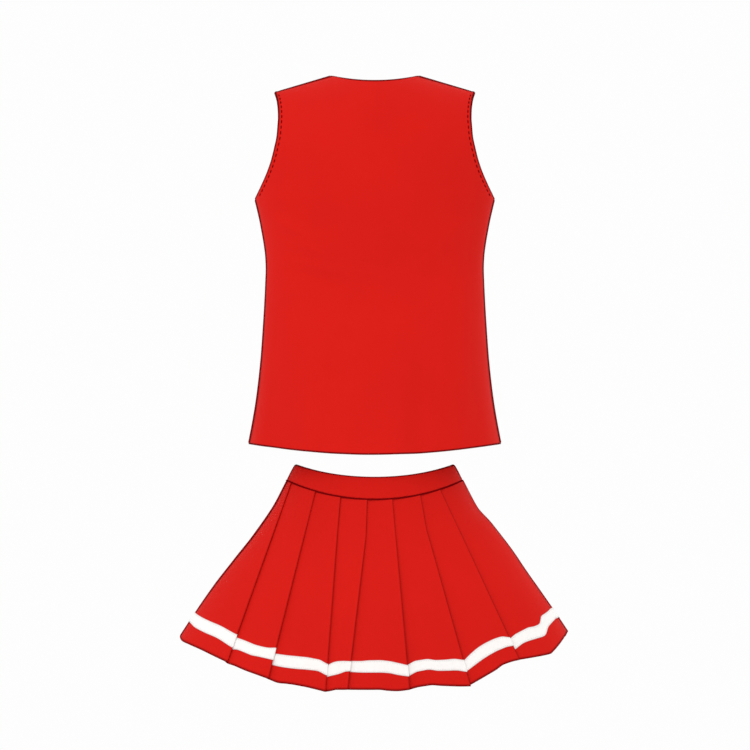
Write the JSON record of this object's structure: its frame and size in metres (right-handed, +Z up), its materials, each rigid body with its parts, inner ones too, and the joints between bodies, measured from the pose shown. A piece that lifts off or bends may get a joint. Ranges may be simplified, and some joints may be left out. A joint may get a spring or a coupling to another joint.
{
  "type": "cheer uniform",
  "caption": "Two-piece cheer uniform: sleeveless shell top and a knife-pleated skirt with a white stripe above the hem and a side zip.",
  "frame": {"origin": "on the floor plane under the waist: the lowest point of the skirt hem is at z = 0 and the garment's centre planes cross at x = 0, y = 0", "axes": "+Z up through both openings, -Y towards the back of the uniform, +X towards the uniform's right side as seen from the back (the side with the zip)"},
  "size_m": [0.6166, 0.346, 0.986],
  "materials": {
    "red_double_knit": "matte polyester double knit with a faint sheen",
    "white_braid": "flat woven braid",
    "white_tape": "plain woven tape",
    "dark_red_thread": "twisted thread",
    "red_zip_tape": "woven zip tape",
    "red_zip_teeth": "moulded",
    "nickel": "nickel plated",
    "white_satin": "satin ribbon"
  },
  "bodies": {
    "shell_top": {"shell_back_panel": "red_double_knit", "shell_front_panel": "red_double_knit", "neck_facing": "red_double_knit", "armhole_facing_left": "red_double_knit", "armhole_facing_right": "red_double_knit", "shell_hem_facing": "red_double_knit", "shoulder_tapes": "red_zip_tape", "armhole_stitches": "dark_red_thread", "size_label": "white_tape"},
    "skirt_waist": {"waistband_back": "red_double_knit", "waistband_front": "red_double_knit", "waistband_facing": "red_double_knit", "waistband_interfacing": "white_tape", "waist_seam_thread": "dark_red_thread", "yoke_back": "red_double_knit", "yoke_front": "red_double_knit", "zip_tape_back": "red_zip_tape", "zip_tape_front": "red_zip_tape", "zip_teeth": "red_zip_teeth", "zip_top_stops": "nickel", "zip_bottom_stop": "nickel", "waist_hook": "nickel", "waist_eye": "nickel"},
    "zip_slider": {"zip_slider": "nickel"},
    "zip_pull_tab": {"zip_pull_tab": "nickel"},
    "loop_left": {"hanger_loop_left": "white_satin"},
    "loop_right": {"hanger_loop_right": "white_satin"},
    "skirt_pleat_01": {"pleat_01": "red_double_knit", "trim_01": "white_braid"},
    "skirt_pleat_02": {"pleat_02": "red_double_knit", "trim_02": "white_braid"},
    "skirt_pleat_03": {"pleat_03": "red_double_knit", "trim_03": "white_braid"},
    "skirt_pleat_04": {"pleat_04": "red_double_knit", "trim_04": "white_braid"},
    "skirt_pleat_05": {"pleat_05": "red_double_knit", "trim_05": "white_braid"},
    "skirt_pleat_06": {"pleat_06": "red_double_knit", "trim_06": "white_braid"},
    "skirt_pleat_07": {"pleat_07": "red_double_knit", "trim_07": "white_braid"},
    "skirt_pleat_08": {"pleat_08": "red_double_knit", "trim_08": "white_braid"},
    "skirt_pleat_09": {"pleat_09": "red_double_knit", "trim_09": "white_braid"},
    "skirt_pleat_10": {"pleat_10": "red_double_knit", "trim_10": "white_braid"},
    "skirt_pleat_11": {"pleat_11": "red_double_knit", "trim_11": "white_braid"},
    "skirt_pleat_12": {"pleat_12": "red_double_knit", "trim_12": "white_braid"},
    "skirt_pleat_13": {"pleat_13": "red_double_knit", "trim_13": "white_braid"},
    "skirt_pleat_14": {"pleat_14": "red_double_knit", "trim_14": "white_braid"},
    "skirt_pleat_15": {"pleat_15": "red_double_knit", "trim_15": "white_braid"},
    "skirt_pleat_16": {"pleat_16": "red_double_knit", "trim_16": "white_braid"}
  },
  "joints": [
    {"name": "skirt_under_shell", "type": "slide", "parent": "shell_top", "child": "skirt_waist", "axis": [0, 0, 1], "range_m": [0, 0.085]},
    {"name": "pleat_01_flare", "type": "hinge", "parent": "skirt_waist", "child": "skirt_pleat_01", "pos_m": [-0.15338, -0.0455, 0.28295], "axis": [-0.534, 0.8315, 0.1531], "range_deg": [0, 20]},
    {"name": "pleat_02_flare", "type": "hinge", "parent": "skirt_waist", "child": "skirt_pleat_02", "pos_m": [-0.10997, -0.08383, 0.26376], "axis": [-0.8132, 0.5034, 0.292], "range_deg": [0, 20]},
    {"name": "pleat_03_flare", "type": "hinge", "parent": "skirt_waist", "child": "skirt_pleat_03", "pos_m": [-0.07145, -0.09944, 0.25263], "axis": [-0.9131, 0.3495, 0.2099], "range_deg": [0, 20]},
    {"name": "pleat_04_flare", "type": "hinge", "parent": "skirt_waist", "child": "skirt_pleat_04", "pos_m": [-0.01967, -0.10963, 0.2452], "axis": [-0.985, 0.1603, 0.0642], "range_deg": [0, 20]},
    {"name": "pleat_05_flare", "type": "hinge", "parent": "skirt_waist", "child": "skirt_pleat_05", "pos_m": [0.02345, -0.1089, 0.24544], "axis": [-0.9978, -0.0064, -0.0661], "range_deg": [0, 20]},
    {"name": "pleat_06_flare", "type": "hinge", "parent": "skirt_waist", "child": "skirt_pleat_06", "pos_m": [0.07394, -0.09866, 0.25316], "axis": [-0.9516, -0.2209, -0.2138], "range_deg": [0, 20]},
    {"name": "pleat_07_flare", "type": "hinge", "parent": "skirt_waist", "child": "skirt_pleat_07", "pos_m": [0.1208, -0.07612, 0.26802], "axis": [-0.8284, -0.4636, -0.3144], "range_deg": [0, 20]},
    {"name": "pleat_08_flare", "type": "hinge", "parent": "skirt_waist", "child": "skirt_pleat_08", "pos_m": [0.16076, -0.03066, 0.28739], "axis": [-0.4758, -0.8471, -0.2368], "range_deg": [0, 20]},
    {"name": "pleat_09_flare", "type": "hinge", "parent": "skirt_waist", "child": "skirt_pleat_09", "pos_m": [0.1631, 0.02471, 0.28877], "axis": [0.2333, -0.9568, 0.1737], "range_deg": [0, 20]},
    {"name": "pleat_10_flare", "type": "hinge", "parent": "skirt_waist", "child": "skirt_pleat_10", "pos_m": [0.12878, 0.07021, 0.27143], "axis": [0.6905, -0.6465, 0.3244], "range_deg": [0, 20]},
    {"name": "pleat_11_flare", "type": "hinge", "parent": "skirt_waist", "child": "skirt_pleat_11", "pos_m": [0.07733, 0.09752, 0.25403], "axis": [0.8924, -0.3855, 0.2347], "range_deg": [0, 20]},
    {"name": "pleat_12_flare", "type": "hinge", "parent": "skirt_waist", "child": "skirt_pleat_12", "pos_m": [0.0211, 0.1091, 0.2453], "axis": [0.9845, -0.1597, 0.0732], "range_deg": [0, 20]},
    {"name": "pleat_13_flare", "type": "hinge", "parent": "skirt_waist", "child": "skirt_pleat_13", "pos_m": [-0.03654, 0.10733, 0.24666], "axis": [0.9921, 0.0676, -0.1052], "range_deg": [0, 20]},
    {"name": "pleat_14_flare", "type": "hinge", "parent": "skirt_waist", "child": "skirt_pleat_14", "pos_m": [-0.09185, 0.09193, 0.25792], "axis": [0.9152, 0.3088, -0.2588], "range_deg": [0, 20]},
    {"name": "pleat_15_flare", "type": "hinge", "parent": "skirt_waist", "child": "skirt_pleat_15", "pos_m": [-0.13988, 0.0604, 0.27644], "axis": [0.7269, 0.606, -0.3232], "range_deg": [0, 20]},
    {"name": "pleat_16_flare", "type": "hinge", "parent": "skirt_waist", "child": "skirt_pleat_16", "pos_m": [-0.16554, 0.01634, 0.29017], "axis": [0.3207, 0.9358, -0.1462], "range_deg": [0, 20]},
    {"name": "zip_slider_run", "type": "slide", "parent": "skirt_waist", "child": "zip_slider", "axis": [0.47, 0, -0.8827], "range_m": [0, 0.044]},
    {"name": "pull_tab_swing", "type": "hinge", "parent": "zip_slider", "child": "zip_pull_tab", "pos_m": [0.13256, 0, 0.34901], "axis": [0, -1, 0], "range_deg": [0, 170]},
    {"name": "hanger_loop_left_swing", "type": "hinge", "parent": "skirt_waist", "child": "loop_left", "pos_m": [-0.11567, 0.02681, 0.3591], "axis": [-0.4017, -0.9158, 0], "range_deg": [0, 170]},
    {"name": "hanger_loop_right_swing", "type": "hinge", "parent": "skirt_waist", "child": "loop_right", "pos_m": [0.11567, 0.02681, 0.3591], "axis": [-0.4017, 0.9158, 0], "range_deg": [0, 170]}
  ],
  "couplings": [
    {"joint": "pleat_02_flare", "follows": "pleat_01_flare", "ratio": 1},
    {"joint": "pleat_03_flare", "follows": "pleat_01_flare", "ratio": 1},
    {"joint": "pleat_04_flare", "follows": "pleat_01_flare", "ratio": 1},
    {"joint": "pleat_05_flare", "follows": "pleat_01_flare", "ratio": 1},
    {"joint": "pleat_06_flare", "follows": "pleat_01_flare", "ratio": 1},
    {"joint": "pleat_07_flare", "follows": "pleat_01_flare", "ratio": 1},
    {"joint": "pleat_08_flare", "follows": "pleat_01_flare", "ratio": 1},
    {"joint": "pleat_09_flare", "follows": "pleat_01_flare", "ratio": 1},
    {"joint": "pleat_10_flare", "follows": "pleat_01_flare", "ratio": 1},
    {"joint": "pleat_11_flare", "follows": "pleat_01_flare", "ratio": 1},
    {"joint": "pleat_12_flare", "follows": "pleat_01_flare", "ratio": 1},
    {"joint": "pleat_13_flare", "follows": "pleat_01_flare", "ratio": 1},
    {"joint": "pleat_14_flare", "follows": "pleat_01_flare", "ratio": 1},
    {"joint": "pleat_15_flare", "follows": "pleat_01_flare", "ratio": 1},
    {"joint": "pleat_16_flare", "follows": "pleat_01_flare", "ratio": 1}
  ]
}
